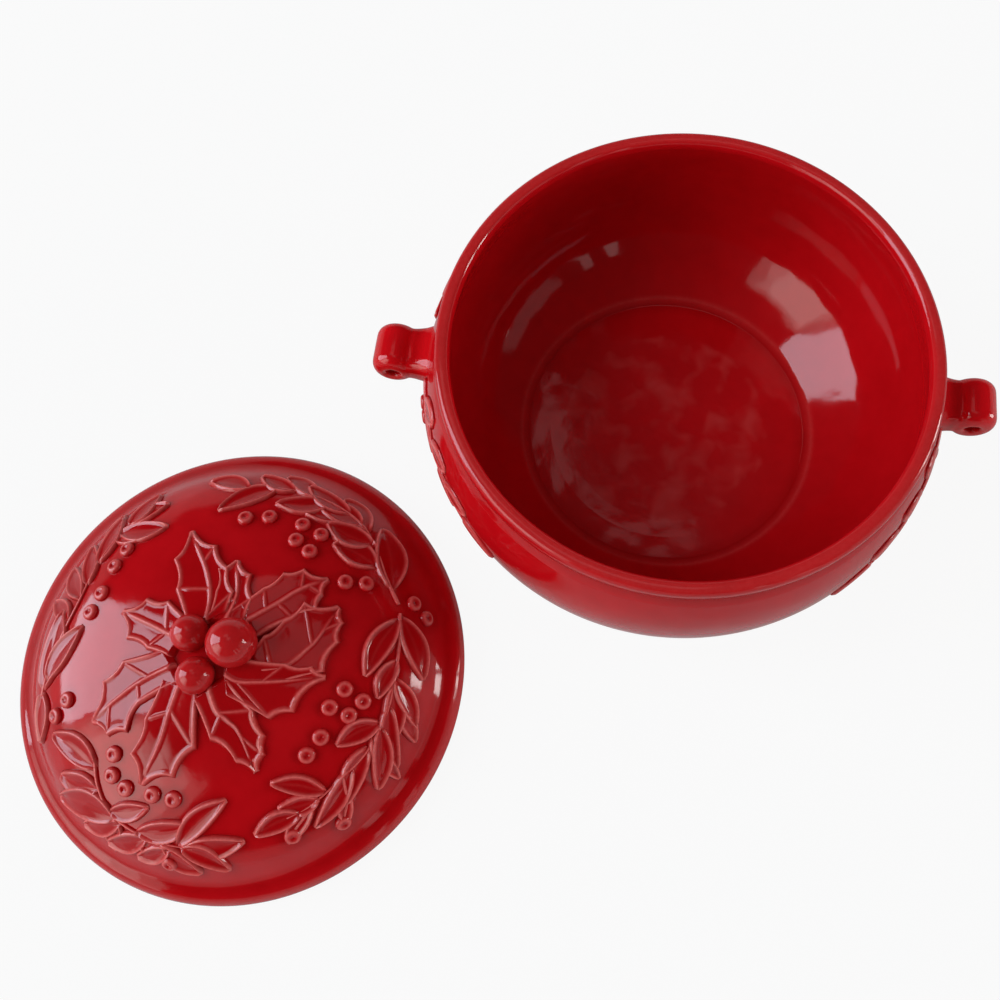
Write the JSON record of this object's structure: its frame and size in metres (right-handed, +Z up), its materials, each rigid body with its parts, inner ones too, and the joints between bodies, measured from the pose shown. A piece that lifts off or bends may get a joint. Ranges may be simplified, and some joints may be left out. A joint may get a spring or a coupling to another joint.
{
  "type": "lidded serving bowl",
  "caption": "Round-bellied glazed ceramic serving bowl with rolled loop handles and a domed lid lying beside it, with holly relief and a knob of berries.",
  "frame": {"origin": "on the table, under the centre of the bowl's standing ring", "axes": "+Z up, +X through the two handles towards the right one, +Y away from the viewer of the picture; the lid lies beside the bowl, to the left and in front"},
  "size_m": [0.3279, 0.2746, 0.076],
  "materials": {
    "glaze": "glossy deep red glaze",
    "relief_glaze": "glossy red glaze, thin and paler on raised edges"
  },
  "bodies": {
    "bowl": {"bowl_body": "glaze", "handle_right": "glaze", "handle_left": "glaze", "belly_sprig_front_right": "relief_glaze", "belly_sprig_back_right": "relief_glaze", "belly_sprig_front_left": "relief_glaze", "belly_sprig_back_left": "relief_glaze", "belly_berries_front_right": "relief_glaze", "belly_berries_back_right": "relief_glaze", "belly_berries_front_left": "relief_glaze", "belly_berries_back_left": "relief_glaze"},
    "lid": {"lid_shell": "glaze", "knob_berry_large": "glaze", "knob_berry_upper": "glaze", "knob_berry_lower": "glaze", "holly_leaf_1": "relief_glaze", "holly_leaf_2": "relief_glaze", "holly_leaf_3": "relief_glaze", "holly_leaf_4": "relief_glaze", "holly_leaf_5": "relief_glaze", "holly_leaf_6": "relief_glaze", "holly_leaf_7": "relief_glaze", "holly_leaf_8": "relief_glaze", "holly_leaf_9": "relief_glaze", "wreath_sprig_upper": "relief_glaze", "wreath_sprig_right": "relief_glaze", "wreath_sprig_lower": "relief_glaze", "wreath_sprig_left": "relief_glaze", "wreath_berry_upper_1": "relief_glaze", "wreath_berry_upper_2": "relief_glaze", "wreath_berry_upper_3": "relief_glaze", "wreath_berry_upper_4": "relief_glaze", "wreath_berry_upper_5": "relief_glaze", "wreath_berry_upper_6": "relief_glaze", "wreath_berry_upper_7": "relief_glaze", "wreath_berry_upper_8": "relief_glaze", "wreath_berry_right_1": "relief_glaze", "wreath_berry_right_2": "relief_glaze", "wreath_berry_right_3": "relief_glaze", "wreath_berry_right_4": "relief_glaze", "wreath_berry_right_5": "relief_glaze", "wreath_berry_right_6": "relief_glaze", "wreath_berry_right_7": "relief_glaze", "wreath_berry_right_8": "relief_glaze", "wreath_berry_right_9": "relief_glaze", "wreath_berry_right_10": "relief_glaze", "wreath_berry_lower_1": "relief_glaze", "wreath_berry_lower_2": "relief_glaze", "wreath_berry_lower_3": "relief_glaze", "wreath_berry_lower_4": "relief_glaze", "wreath_berry_lower_5": "relief_glaze", "wreath_berry_lower_6": "relief_glaze", "wreath_berry_left_1": "relief_glaze", "wreath_berry_left_2": "relief_glaze", "wreath_berry_left_3": "relief_glaze", "wreath_berry_left_4": "relief_glaze", "wreath_berry_left_5": "relief_glaze", "wreath_berry_left_6": "relief_glaze"}
  },
  "joints": [
    {"name": "lid_lift", "type": "slide", "parent": "bowl", "child": "lid", "axis": [0, 0, 1], "range_m": [0, 0.12]}
  ]
}
